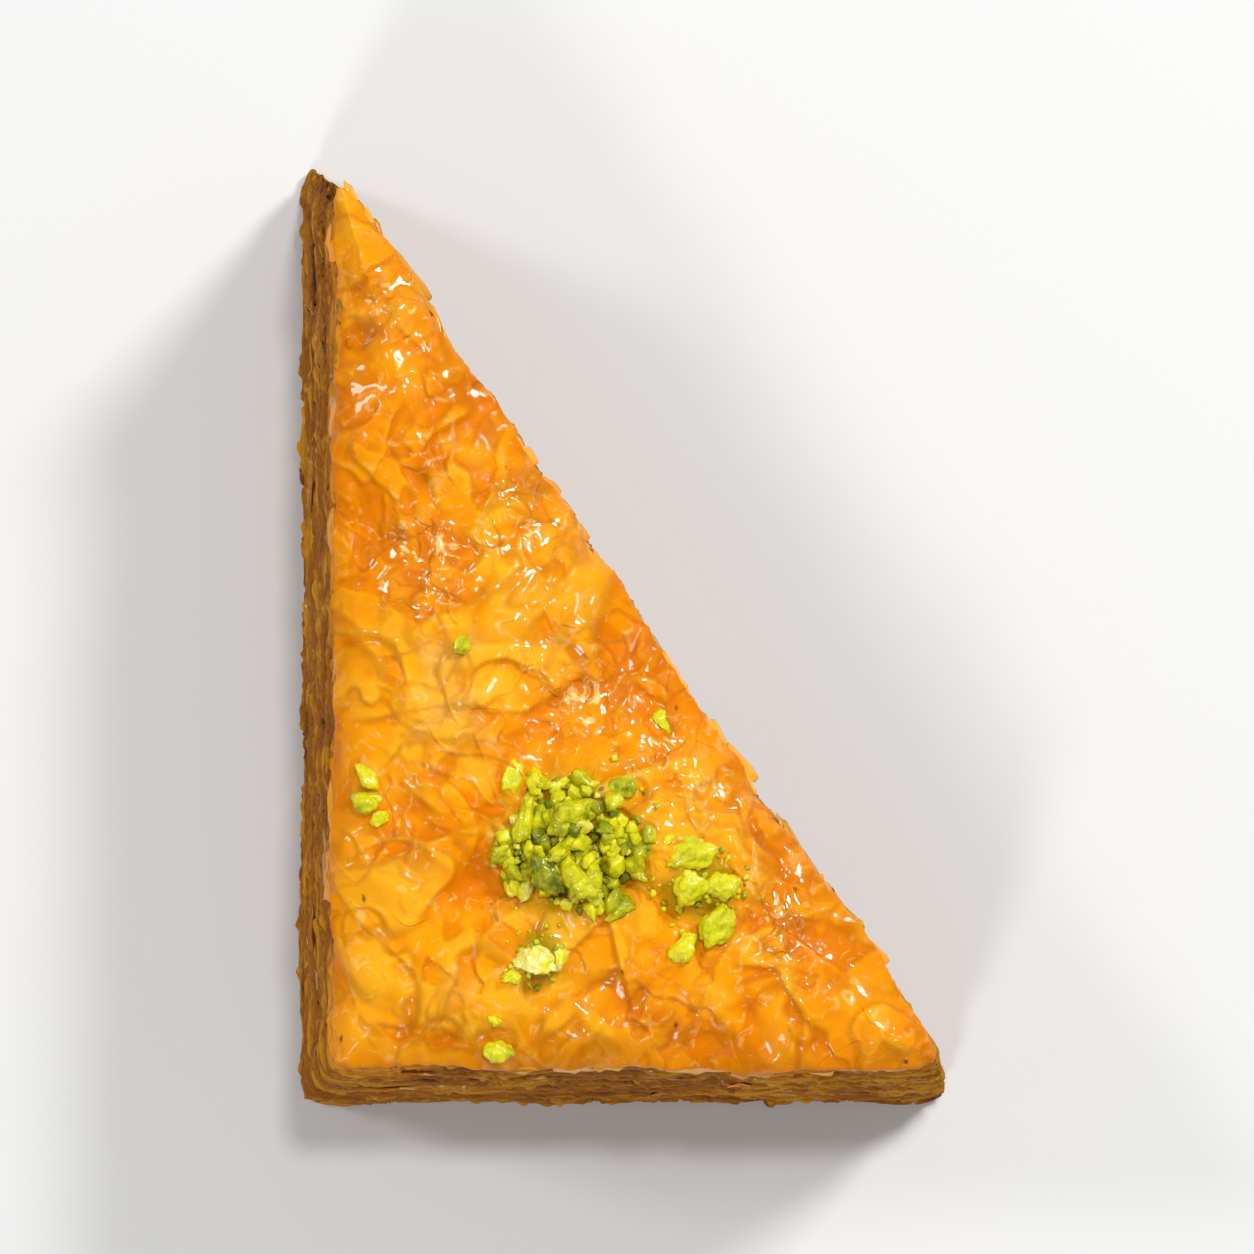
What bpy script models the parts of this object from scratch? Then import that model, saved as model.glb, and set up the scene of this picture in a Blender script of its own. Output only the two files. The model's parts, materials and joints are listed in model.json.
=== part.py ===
# One piece of baklava: a right-angled triangle cut from a tray of stacked pastry leaves.
# The cut sides lean out towards the bottom and show the leaves as ridges, the top sheet
# swells between them and droops to its rim, and the bottom is flat.
# Metres, +Z up. The right angle is at -X -Y, the long leg runs along Y and the short leg along X.
# The origin is on the bottom, under the middle of the piece's box.

import math

import bmesh
import bpy
from mathutils import Vector, noise

SHORT_LEG = 0.0560  # at the bottom, along X, to the sharp corners
LONG_LEG = 0.0835  # at the bottom, along Y, to the sharp corners
HEIGHT = 0.0285  # of the top sheet, before its droop and swells

# How far the top edge of each cut side stands in from its bottom edge.
LEAN_LEFT = 0.0027
LEAN_FRONT = 0.0031
LEAN_DIAGONAL = 0.0003

# Corner radii: the right angle, the front right point and the back point.
CORNER_RADII = (0.0017, 0.0014, 0.0010)
SAMPLES_PER_EDGE = (24, 42, 36)  # front, diagonal, left
SAMPLES_PER_CORNER = 4

# The cut sides: bundles of leaves, each with a crest that stands out between two gaps.
BUNDLES = 9
BUNDLE_UNEVENNESS = 0.35  # how much taller or thinner than the mean a bundle may be
BUNDLE_TURN = 2.4  # radians from one bundle to the next on the wave that makes them uneven
CREST_STANDS_OUT = 0.00075
CREST_UNEVENNESS = 0.8  # share of the crest's reach that comes and goes along the side
CREST_SPACING = 0.008
CREST_LOW, CREST_HIGH = 0.30, 0.72  # where a crest starts and ends, as shares of its bundle
CREST_HIGH_REACH = 0.8  # of the crest's upper line, as a share of the lower line's
GAP_STANDS_IN = 0.00045
LEAF_WANDER = 0.00055  # how far a bundle's line rises and falls along the side
WANDER_SPACING = 0.018
CUT_WAVER = 0.0006  # how far a cut wanders from a straight line
WAVER_SPACING = 0.0167
WAVER_TURN = 1.5  # how much the wandering changes from the bottom to the top
SHEET_OVERHANG = 0.0007  # of the top sheet past the bundle below it
OVERHANG_SPACING = 0.005
SHEET_THICKNESS = 0.0009
SHEET_EDGE_INSET = 0.35  # of the sheet's upper edge, as a share of its thickness

# The top sheet.
RIM_DROOP = 0.0021
DROOP_RUN = 0.0042  # how far in from the rim the droop fades
CROWN = 0.0012  # how far the middle swells above the flat
SWELL_HEIGHT = 0.0009
SWELL_SPACING = 0.017
PUCKER_HEIGHT = 0.0004
PUCKER_SPACING = 0.0065
TOP_RINGS = (0.965, 0.92, 0.85, 0.76, 0.65, 0.53, 0.40, 0.27, 0.13)  # shares of the rim's size

# Each kind of unevenness reads the noise at its own level, and each bundle at its own too.
CREST_FIELD, CREST_FIELD_STEP = 5.0, 3.7
WANDER_FIELD, WANDER_FIELD_STEP = 11.0, 0.35
OVERHANG_FIELD = 17.0
SWELL_FIELD = 2.0
PUCKER_FIELD = 7.0
NOISE_GAIN = 1.6  # brings the noise to about -1 to 1

SMOOTH_BELOW = 50  # degrees between faces, for the shading
PASTRY_COLOUR = (0.85, 0.36, 0.03, 1.0)
PASTRY_ROUGHNESS = 0.28


def triangle_corners(rise):
    """The outline's corners at a share of the height: right angle, front right, back."""
    left = LEAN_LEFT * rise
    front = LEAN_FRONT * rise
    inset = LEAN_DIAGONAL * rise
    length = math.hypot(SHORT_LEG, LONG_LEG)
    # The diagonal is LONG_LEG x + SHORT_LEG y = reach.
    reach = SHORT_LEG * LONG_LEG - inset * length
    return (
        Vector((left, front)),
        Vector(((reach - SHORT_LEG * front) / LONG_LEG, front)),
        Vector((left, (reach - LONG_LEG * left) / SHORT_LEG)),
    )


def corner_arc(before, corner, after, radius):
    """Points and outward directions round a corner, from one edge's tangent to the next."""
    to_before = (before - corner).normalized()
    to_after = (after - corner).normalized()
    half_angle = to_before.angle(to_after) / 2
    middle = (to_before + to_after).normalized()
    centre = corner + middle * (radius / math.sin(half_angle))
    start = corner + to_before * (radius / math.tan(half_angle)) - centre
    turn = math.pi - 2 * half_angle
    points = []
    for step in range(SAMPLES_PER_CORNER):
        angle = turn * step / (SAMPLES_PER_CORNER - 1)
        arm = Vector(
            (
                start.x * math.cos(angle) - start.y * math.sin(angle),
                start.x * math.sin(angle) + start.y * math.cos(angle),
            )
        )
        points.append((centre + arm, arm.normalized()))
    return points


def outline(rise):
    """The rounded triangle at a share of the height, anticlockwise from the right angle.
    Every level has the same number of points, so that levels join one to one."""
    corners = triangle_corners(rise)
    arcs = []
    for index in range(3):
        arcs.append(
            corner_arc(
                corners[index - 1], corners[index], corners[(index + 1) % 3], CORNER_RADII[index]
            )
        )
    points = []
    for index in range(3):
        points.extend(arcs[index])
        start, outward = arcs[index][-1]
        end = arcs[(index + 1) % 3][0][0]
        count = SAMPLES_PER_EDGE[index]
        for step in range(1, count + 1):
            points.append((start.lerp(end, step / (count + 1)), outward))
    return points


def smooth_noise(x, y, z):
    """Noise from about -1 to 1, the same on every run."""
    return noise.noise(Vector((x, y, z))) * NOISE_GAIN


def cut_waver(point, rise):
    """How far the cut stands out or in at a point of the outline."""
    return CUT_WAVER * smooth_noise(
        point.x / WAVER_SPACING, point.y / WAVER_SPACING, rise * WAVER_TURN
    )


def side_ring(rise, stand_out, bundle):
    """One level of the cut sides. stand_out moves it along the outline's outward direction."""
    ring = []
    for point, outward in outline(rise):
        along = point.x - point.y
        crest = smooth_noise(along / CREST_SPACING, bundle * CREST_FIELD_STEP, CREST_FIELD)
        unevenness = 1 + CREST_UNEVENNESS * crest
        drift = smooth_noise(along / WANDER_SPACING, bundle * WANDER_FIELD_STEP, WANDER_FIELD)
        wander = LEAF_WANDER * drift
        # Leaves lie flat at the bottom and under the top sheet.
        freedom = math.sqrt(math.sin(math.pi * min(max(rise, 0.0), 1.0)))
        place = point + outward * (cut_waver(point, rise) + stand_out * unevenness)
        ring.append(Vector((place.x, place.y, HEIGHT * rise + wander * freedom)))
    return ring


def side_rings():
    """The cut sides from the flat bottom up to the bundle under the top sheet."""
    leaf_span = 1.0 - (SHEET_THICKNESS + RIM_DROOP) / HEIGHT
    weights = [
        1 + BUNDLE_UNEVENNESS * math.sin(BUNDLE_TURN * bundle) for bundle in range(BUNDLES)
    ]
    rings = [side_ring(0.0, 0.0, 0)]
    foot = 0.0
    for bundle, weight in enumerate(weights):
        tall = leaf_span * weight / sum(weights)
        if bundle:
            rings.append(side_ring(foot, -GAP_STANDS_IN, bundle))
        rings.append(side_ring(foot + tall * CREST_LOW, CREST_STANDS_OUT, bundle))
        upper_reach = CREST_STANDS_OUT * CREST_HIGH_REACH
        rings.append(side_ring(foot + tall * CREST_HIGH, upper_reach, bundle))
        foot += tall
    rings.append(side_ring(leaf_span, -GAP_STANDS_IN, BUNDLES))
    return rings


def distance_to_rim(x, y):
    """How far a point of the top lies inside the nearest cut side."""
    corners = triangle_corners(1.0)
    nearest = LONG_LEG
    for index in range(3):
        start = corners[index]
        along = (corners[(index + 1) % 3] - start).normalized()
        nearest = min(nearest, along.x * (y - start.y) - along.y * (x - start.x))
    return max(nearest, 0.0)


def top_height(x, y):
    """The top sheet's height: a low crown with swells and puckers that droops to the rim."""
    inside = distance_to_rim(x, y)
    droop = RIM_DROOP * math.exp(-inside / DROOP_RUN)
    crown = CROWN * (1 - math.exp(-inside / (2 * DROOP_RUN)))
    freedom = 1 - math.exp(-inside / DROOP_RUN)
    swell = SWELL_HEIGHT * smooth_noise(x / SWELL_SPACING, y / SWELL_SPACING, SWELL_FIELD)
    pucker = PUCKER_HEIGHT * smooth_noise(x / PUCKER_SPACING, y / PUCKER_SPACING, PUCKER_FIELD)
    return HEIGHT - droop + crown + (swell + pucker) * freedom


def top_rings():
    """The top sheet from its overhanging edge in towards the middle of the triangle."""
    corners = triangle_corners(1.0)
    lengths = [(corners[(i + 1) % 3] - corners[i - 1]).length for i in range(3)]
    middle = Vector((0.0, 0.0))
    for corner, opposite in zip(corners, lengths):
        middle += corner * (opposite / sum(lengths))  # the centre of the inscribed circle
    edge = []
    rim = []
    for point, outward in outline(1.0):
        flutter = smooth_noise(
            point.x / OVERHANG_SPACING, point.y / OVERHANG_SPACING, OVERHANG_FIELD
        )
        overhang = SHEET_OVERHANG * (1 + flutter) / 2
        place = point + outward * (cut_waver(point, 1.0) + overhang)
        height = top_height(place.x, place.y)
        edge.append(Vector((place.x, place.y, height - SHEET_THICKNESS)))
        place -= outward * (SHEET_THICKNESS * SHEET_EDGE_INSET)
        rim.append(Vector((place.x, place.y, height)))
    rings = [edge, rim]
    for share in TOP_RINGS:
        ring = []
        for place in rim:
            x = middle.x + (place.x - middle.x) * share
            y = middle.y + (place.y - middle.y) * share
            ring.append(Vector((x, y, top_height(x, y))))
        rings.append(ring)
    return rings, Vector((middle.x, middle.y, top_height(middle.x, middle.y)))


def centred(rings, peak):
    """Moves all points so that the origin is under the middle of the piece's box."""
    points = [point for ring in rings for point in ring]
    shift = Vector((0.0, 0.0, 0.0))
    for axis in range(2):
        values = [point[axis] for point in points]
        shift[axis] = -(min(values) + max(values)) / 2
    return [[point + shift for point in ring] for ring in rings], peak + shift


def build_pastry():
    """The whole piece as one closed solid: a flat bottom, the leaved sides and the top sheet."""
    top, peak = top_rings()
    rings, peak = centred(side_rings() + top, peak)
    shape = bmesh.new()
    levels = [[shape.verts.new(point) for point in ring] for ring in rings]
    count = len(levels[0])
    shape.faces.new(reversed(levels[0]))
    for lower, upper in zip(levels, levels[1:]):
        for index in range(count):
            after = (index + 1) % count
            shape.faces.new((lower[index], lower[after], upper[after], upper[index]))
    middle = shape.verts.new(peak)
    last = levels[-1]
    for index in range(count):
        shape.faces.new((last[index], last[(index + 1) % count], middle))
    bmesh.ops.triangulate(shape, faces=shape.faces[:])
    mesh = bpy.data.meshes.new("pastry")
    shape.to_mesh(mesh)
    shape.free()
    mesh.shade_smooth()
    mesh.set_sharp_from_angle(angle=math.radians(SMOOTH_BELOW))
    mesh.materials.append(pastry_material())
    pastry = bpy.data.objects.new("pastry", mesh)
    bpy.context.scene.collection.objects.link(pastry)


def pastry_material():
    """Golden pastry leaves under a film of syrup."""
    material = bpy.data.materials.new("golden_pastry")
    material.use_nodes = True
    shader = material.node_tree.nodes["Principled BSDF"]
    shader.inputs["Base Color"].default_value = PASTRY_COLOUR
    shader.inputs["Roughness"].default_value = PASTRY_ROUGHNESS
    shader.inputs["Metallic"].default_value = 0.0
    return material


def remove_scene_objects():
    """Clears what the scene starts with."""
    for thing in list(bpy.data.objects):
        bpy.data.objects.remove(thing, do_unlink=True)


remove_scene_objects()
build_pastry()
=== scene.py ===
import json
import math
import random

import bmesh
import bpy
import numpy as np
from mathutils import Matrix, Vector, noise
from mathutils.bvhtree import BVHTree

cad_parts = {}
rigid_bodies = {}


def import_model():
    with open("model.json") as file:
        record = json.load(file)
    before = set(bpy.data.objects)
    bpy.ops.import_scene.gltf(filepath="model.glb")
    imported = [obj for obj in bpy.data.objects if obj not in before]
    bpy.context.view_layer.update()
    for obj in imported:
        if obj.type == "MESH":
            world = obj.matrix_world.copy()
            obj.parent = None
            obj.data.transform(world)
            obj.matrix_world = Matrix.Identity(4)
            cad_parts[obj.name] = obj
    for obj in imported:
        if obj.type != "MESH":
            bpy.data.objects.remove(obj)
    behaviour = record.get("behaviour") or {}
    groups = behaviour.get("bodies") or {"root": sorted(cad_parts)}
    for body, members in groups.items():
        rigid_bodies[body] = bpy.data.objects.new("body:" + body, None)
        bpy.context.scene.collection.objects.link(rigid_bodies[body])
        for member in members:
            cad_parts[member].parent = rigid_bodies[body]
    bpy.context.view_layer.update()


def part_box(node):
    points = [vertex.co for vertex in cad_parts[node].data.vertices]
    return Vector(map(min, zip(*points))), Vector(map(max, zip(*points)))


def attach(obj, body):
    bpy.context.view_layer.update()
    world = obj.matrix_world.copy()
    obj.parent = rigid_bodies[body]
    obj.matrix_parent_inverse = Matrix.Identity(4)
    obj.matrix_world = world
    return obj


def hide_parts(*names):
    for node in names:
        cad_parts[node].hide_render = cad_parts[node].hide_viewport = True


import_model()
mm = 0.001
print("frame loaded")


class Value:
    # one socket; arithmetic on it adds Math nodes to its tree
    def __init__(self, maker, socket):
        self.maker = maker
        self.socket = socket

    def math(self, operation, *others):
        inputs = dict(enumerate((self, *others)))
        return self.maker.add("ShaderNodeMath", {"operation": operation}, inputs)

    def reflected(self, operation, other):
        return self.maker.add("ShaderNodeMath", {"operation": operation}, {0: other, 1: self})

    def __add__(self, other):
        return self.math("ADD", other)

    __radd__ = __add__

    def __sub__(self, other):
        return self.math("SUBTRACT", other)

    def __rsub__(self, other):
        return self.reflected("SUBTRACT", other)

    def __mul__(self, other):
        return self.math("MULTIPLY", other)

    __rmul__ = __mul__

    def __truediv__(self, other):
        return self.math("DIVIDE", other)

    def __pow__(self, other):
        return self.math("POWER", other)

    def __abs__(self):
        return self.math("ABSOLUTE")

    def atLeast(self, other):
        return self.math("MAXIMUM", other)

    def fading(self, reach):
        # 1 at nought and e times less for each further reach
        return (self * (-1 / reach)).math("EXPONENT")

    def rise(self, start, end):
        # 0 before start, 1 after end, smooth between
        settings = {"interpolation_type": "SMOOTHSTEP"}
        inputs = {"Value": self, "From Min": start, "From Max": end}
        return self.maker.add("ShaderNodeMapRange", settings, inputs)


class Maker:
    # adds nodes to one tree
    def __init__(self, tree):
        self.tree = tree

    def add(self, kind, settings=None, inputs=None, output=0):
        node = self.tree.nodes.new(kind)
        for name, value in (settings or {}).items():
            if name == "stops":
                self.setStops(node.color_ramp, value)
            else:
                setattr(node, name, value)
        for name, value in (inputs or {}).items():
            if isinstance(value, Value):
                self.tree.links.new(value.socket, node.inputs[name])
            else:
                node.inputs[name].default_value = value
        return Value(self, node.outputs[output]) if node.outputs else None

    def setStops(self, ramp, stops):
        while len(ramp.elements) > 1:
            ramp.elements.remove(ramp.elements[-1])
        for index, (place, colour) in enumerate(stops):
            stop = ramp.elements[0] if index == 0 else ramp.elements.new(place)
            stop.position = place
            stop.color = (*colour, 1)

    def output(self, value, name):
        # another output of the node that value comes from
        return Value(self, value.socket.node.outputs[name])

    def vector(self, operation, *inputs, scale=None):
        sockets = dict(enumerate(inputs))
        if scale is not None:
            sockets["Scale"] = scale
        return self.add("ShaderNodeVectorMath", {"operation": operation}, sockets)

    def wave(self, height, *noiseValues):
        # noise that swings about this far up and down
        return (self.noise(*noiseValues) - 0.5) * 2 * height

    def shifted(self, place, shift):
        # the same pattern from somewhere else
        return self.vector("ADD", place, (shift, shift * 0.7, shift * 1.3))

    def noise(self, place, spacing, shift=0.0, detail=2.0, roughness=0.5, distortion=0.0):
        # about 0 to 1, with the middle at a half
        inputs = {
            "Vector": self.shifted(place, shift),
            "Scale": 1 / spacing,
            "Detail": detail,
            "Roughness": roughness,
            "Distortion": distortion,
        }
        return self.add("ShaderNodeTexNoise", None, inputs)

    def cells(self, place, spacing, shift=0.0):
        # distance to the nearest of random middles, in spacings
        inputs = {"Vector": self.shifted(place, shift), "Scale": 1 / spacing}
        return self.add("ShaderNodeTexVoronoi", None, inputs)

    def split(self, vector):
        first = self.add("ShaderNodeSeparateXYZ", None, {0: vector})
        return first, self.output(first, "Y"), self.output(first, "Z")

    def join(self, x=0.0, y=0.0, z=0.0):
        return self.add("ShaderNodeCombineXYZ", None, {"X": x, "Y": y, "Z": z})

    def mix(self, share, first, second):
        # second over first by share; a colour is a socket or three numbers
        first, second = (c if isinstance(c, Value) else (*c, 1) for c in (first, second))
        inputs = {0: share, 6: first, 7: second}
        return self.add("ShaderNodeMix", {"data_type": "RGBA"}, inputs, output=2)

    def ownPlace(self):
        return self.add("ShaderNodeTexCoord", None, None, output="Object")

    def carried(self, name):
        # a number that the mesh carries under this name
        return self.add("ShaderNodeAttribute", {"attribute_name": name}, None, "Fac")

    def bump(self, height, strength, distance):
        inputs = {"Strength": strength, "Distance": distance, "Height": height}
        return self.add("ShaderNodeBump", None, inputs)


def shapeTree(name, inputs):
    # a Geometry Nodes tree with named inputs; gives its maker, its geometry and its inputs
    tree = bpy.data.node_groups.new(name, "GeometryNodeTree")
    tree.interface.new_socket("Geometry", in_out="INPUT", socket_type="NodeSocketGeometry")
    for inputName, kind in inputs.items():
        tree.interface.new_socket(inputName, in_out="INPUT", socket_type="NodeSocket" + kind)
    tree.interface.new_socket("Geometry", in_out="OUTPUT", socket_type="NodeSocketGeometry")
    maker = Maker(tree)
    geometry = maker.add("NodeGroupInput")
    return maker, geometry, {key: maker.output(geometry, key) for key in inputs}


def endTree(maker, geometry, material):
    # every tree ends with its instances realized and its material set
    geometry = maker.add("GeometryNodeRealizeInstances", None, {0: geometry})
    geometry = maker.add("GeometryNodeSetMaterial", None, {0: geometry, "Material": material})
    end = maker.tree.nodes.new("NodeGroupOutput")
    maker.tree.links.new(geometry.socket, end.inputs[0])


def named(maker, name, kind="FLOAT"):
    settings = {"data_type": kind}
    return maker.add("GeometryNodeInputNamedAttribute", settings, {"Name": name})


def keep(maker, geometry, name, value, domain="POINT", kind="FLOAT"):
    settings = {"data_type": kind, "domain": domain}
    inputs = {0: geometry, "Name": name, "Value": value}
    return maker.add("GeometryNodeStoreNamedAttribute", settings, inputs)


def grown(piece, maker, values):
    # runs a tree on a piece and leaves the result as its plain mesh
    modifier = piece.modifiers.new(maker.tree.name, "NODES")
    modifier.node_group = maker.tree
    for item in maker.tree.interface.items_tree:
        if item.in_out == "INPUT" and item.name in values:
            modifier[item.identifier] = values[item.name]
    graph = bpy.context.evaluated_depsgraph_get()
    mesh = bpy.data.meshes.new_from_object(piece.evaluated_get(graph))
    piece.modifiers.remove(modifier)
    piece.data = mesh
    mesh.name = piece.name
    mesh.shade_smooth()
    return piece


def newPiece(name, vertices, faces, attributes=None):
    mesh = bpy.data.meshes.new(name)
    mesh.from_pydata(vertices, [], faces)
    for key, values in (attributes or {}).items():
        isVector = np.ndim(values) == 2
        layer = mesh.attributes.new(key, "FLOAT_VECTOR" if isVector else "FLOAT", "POINT")
        layer.data.foreach_set("vector" if isVector else "value", np.ravel(values))
    piece = bpy.data.objects.new(name, mesh)
    bpy.context.scene.collection.objects.link(piece)
    return piece


def newMaterial(name):
    material = bpy.data.materials.new(name)
    material.use_nodes = True
    material.node_tree.nodes.clear()
    return material, Maker(material.node_tree)


def finishMaterial(maker, inputs):
    # a Principled shader with these sockets, on the material's output
    shader = maker.add("ShaderNodeBsdfPrincipled", None, inputs)
    maker.add("ShaderNodeOutputMaterial", None, {"Surface": shader})


pieceShape = {
    "inFromBox": 0.9 * mm,  # the crests of the leaves stand this far out of the cut
    "leanLeft": 2.7 * mm,
    "leanFront": 3.1 * mm,
    "leanDiagonal": 0.3 * mm,
    "sharpPast": (0.0, 1.6, 2.4),  # mm that each sharp corner lies past the box's
    "rounding": (0.55, 1.2, 1.9),  # mm cut off the sharp corners
    "roundingSpan": 2.6,  # times the cut
    "cornerTurn": 1.2 * mm,  # how near a corner the outward direction turns
    "topSheet": 28.4 * mm,
    "rimDroop": 2.1 * mm,
    "droopRun": 3.6 * mm,
    "crown": 1.2 * mm,
    "waver": 1.0 * mm,  # how far the cut wanders
    "waverSpacing": 15 * mm,
    "nick": 0.7 * mm,
    "nickSpacing": 5.5 * mm,
}

boxLow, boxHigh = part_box("pastry")
shape = pieceShape
topLevel = shape["topSheet"]
inset = shape["inFromBox"]


def corners(rise):
    # right angle, front right and back corner at a share of the height
    left = boxLow[0] + inset + shape["leanLeft"] * rise
    front = boxLow[1] + inset + shape["leanFront"] * rise
    right = boxHigh[0] - inset + shape["sharpPast"][1] * mm
    back = boxHigh[1] - inset + shape["sharpPast"][2] * mm
    farLeft, farFront = boxLow[0] + inset, boxLow[1] + inset
    slope = (back - farFront) / (right - farLeft)
    lean = shape["leanDiagonal"] * rise * math.hypot(1, slope)
    reach = back - lean  # where the diagonal meets the left edge's line at the bottom
    return (
        Vector((left, front)),
        Vector((farLeft + (reach - front) / slope, front)),
        Vector((left, reach - slope * (left - farLeft))),
    )


def sidesOf(points):
    # each side's start and direction
    return [(points[i], (points[(i + 1) % 3] - points[i]).normalized()) for i in range(3)]


def insideOf(point, start, along):
    # how far a point is on the inner side of a line
    return along.x * (point.y - start.y) - along.y * (point.x - start.x)


def inCentre(points):
    sides = [(points[(i + 1) % 3] - points[i - 1]).length for i in range(3)]
    middle = Vector((0, 0))
    for point, side in zip(points, sides):
        middle += point * (side / sum(sides))
    return middle, insideOf(middle, *sidesOf(points)[0])


def roundedOff(point, points):
    # draws a point near a sharp corner back along the corner's bisector
    for index, corner in enumerate(points):
        before = (points[index - 1] - corner).normalized()
        after = (points[(index + 1) % 3] - corner).normalized()
        inward = (before + after).normalized()
        cut = shape["rounding"][index] * mm
        span = cut * shape["roundingSpan"]
        depth = (point - corner).dot(inward)
        if depth < span:
            point = point + inward * (cut * (1 - depth / span) ** 2)
    return point


def rimDistance(point, points):
    return max(min(insideOf(point, *side) for side in sidesOf(points)), 0.0)


def outwardAt(point, points):
    # away from the nearest cut side, turning smoothly at the corners
    total = Vector((0, 0))
    for start, along in sidesOf(points):
        inside = max(insideOf(point, start, along), 0)
        total += Vector((along.y, -along.x)) * math.exp(-inside / shape["cornerTurn"])
    return total.normalized() if total.length > 1e-9 else total


def outline(rise, perEdge):
    # points and outward directions round the triangle, anticlockwise from the right angle
    points = corners(rise)
    ring = []
    for index in range(3):
        start, end = points[index], points[(index + 1) % 3]
        along = (end - start).normalized()
        outward = Vector((along.y, -along.x))
        for step in range(perEdge):
            share = step / perEdge
            ring.append((roundedOff(start.lerp(end, share), points), outward))
    count = len(ring)
    reach = max(2, perEdge // 60)
    smooth = []
    for index, (point, _) in enumerate(ring):
        total = Vector((0, 0))
        for step in range(-reach, reach + 1):
            total += ring[(index + step) % count][1]
        smooth.append((point, total.normalized()))
    return smooth


goldenLook = {
    "deep": (0.75, 0.198, 0.0003),
    "golden": (0.93, 0.325, 0.0015),
    "light": (0.97, 0.435, 0.012),
    "blush": (0.96, 0.465, 0.026),
    # pale: the colour of the painted sheen on the wrinkled and raised top
    "pale": (1.0, 0.71, 0.24),
    # hairline cracks, and the painted shadow line along each flake step
    "crackAndStepShade": (0.42, 0.105, 0.0015),
    "scorch": (0.075, 0.020, 0.004),
    "nutStain": (0.38, 0.240, 0.001),
}


def goldenFinish():
    # baked top sheet under syrup
    look = goldenLook
    material, make = newMaterial("goldenLeaf")
    place = make.ownPlace()
    kept = ("flakeShade", "flakeEdge", "inside", "nutStain", "wrinkled", "lift")
    flakeShade, flakeEdge, inside, stain, wrinkled, lift = map(make.carried, kept)
    broad = make.noise(place, 11 * mm, 1.7, 3, 0.55, 0.4)
    middle = make.noise(place, 3.6 * mm, 4.1, 3, 0.55, 0.8)
    fine = make.noise(place, 0.9 * mm, 7.9, 3, 0.6, 0.3)
    tone = (broad - 0.5) * 1.3 + (middle - 0.5) * 0.6 + (fine - 0.5) * 0.12
    # lift and flakeShade paint light into the tone: raised lumps are paler as painted sheen, and
    # hollows and the feet of steps are darker as painted shade, with syrup lying deeper there;
    # the noises are the sheet's own uneven tone
    tone = tone + (flakeShade - 0.5) * 0.80 + lift * 0.40 + 0.59
    colour = make.mix(tone.rise(0.05, 0.55), look["deep"], look["golden"])
    colour = make.mix(tone.rise(0.5, 0.95) * 0.9, colour, look["light"])
    blush = make.noise(place, 7.5 * mm, 12.3, 2, 0.5, 0.8).rise(0.55, 0.68)
    colour = make.mix(blush * tone.rise(0.3, 0.7) * 0.5, colour, look["blush"])
    # pale lines where the sheet is wrinkled, and paler raised lumps: painted sheen of the glossy
    # syrup
    streaks = make.noise(place, 1.9 * mm, 15.3, 3, 0.6, 1.6).rise(0.57, 0.68)
    pale = streaks * (wrinkled * 0.55 + 0.34) + lift.rise(0.6, 1.2) * 0.30
    colour = make.mix(pale, colour, look["pale"])
    # painted shade: the top is darker where it droops towards the cut edge
    rimShade = inside.fading(1.6 * mm)
    colour = make.mix(rimShade * 0.5, colour, look["deep"])
    lines = 1 - abs(make.noise(place, 10 * mm, 57.0, 1, 0.4, 0.7) - 0.5).rise(0.0, 0.006)
    lines = lines * make.noise(place, 7 * mm, 59.0, 1).rise(0.52, 0.62)
    # darker along each flake step as a painted shadow line, and along hairline cracks
    colour = make.mix(flakeEdge * 0.45 + lines * 0.5, colour, look["crackAndStepShade"])
    colour = make.mix(stain * 0.9, colour, look["nutStain"])
    specks = make.cells(make.vector("MULTIPLY", place, (1, 0.55, 1)), 2.4 * mm, shift=3.3)
    chosen = make.split(make.output(specks, "Color"))[0]
    dots = (1 - (specks + (fine - 0.5) * 0.24).rise(0.0, 0.11)) * chosen.rise(0.56, 0.58)
    colour = make.mix(dots * 0.8, colour, look["scorch"])

    ripple = make.noise(place, 2.2 * mm, 21.0, 1, 0.5, 0.9)
    veins = 1 - abs(make.noise(place, 4.2 * mm, 27.0, 1, 0.5, 1.2) - 0.5).rise(0.0, 0.085)
    height = ripple * (0.06 + wrinkled * 0.36) + veins * (0.02 + wrinkled * 0.30)
    height = height - dots * 0.25
    bump = make.bump(height, 0.9, 0.5 * mm)
    wet = make.noise(place, 8 * mm, 44.0, 2, 0.5, 0.5).rise(0.40, 0.60)
    inputs = {
        "Base Color": colour,
        "Roughness": 0.36 - wet * 0.08 + (fine - 0.5) * 0.12,
        "Specular IOR Level": 0.04,
        "Coat Weight": wet * 0.38 + wrinkled * 0.60,
        "Coat Roughness": 0.05,
        "Coat IOR": 1.48,
        "Subsurface Weight": 0.06,
        "Subsurface Radius": (1.0, 0.4, 0.1),
        "Subsurface Scale": 1.0 * mm,
        "Normal": bump,
    }
    finishMaterial(make, inputs)
    return material


leafLook = {
    # the darkest colour, painted shade deep between the leaves
    "gapShade": (0.050, 0.014, 0.0015),
    "brown": (0.37, 0.116, 0.0015),
    "tan": (0.66, 0.280, 0.006),
    "edge": (0.88, 0.49, 0.060),
    "golden": (0.88, 0.330, 0.006),
}


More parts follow.
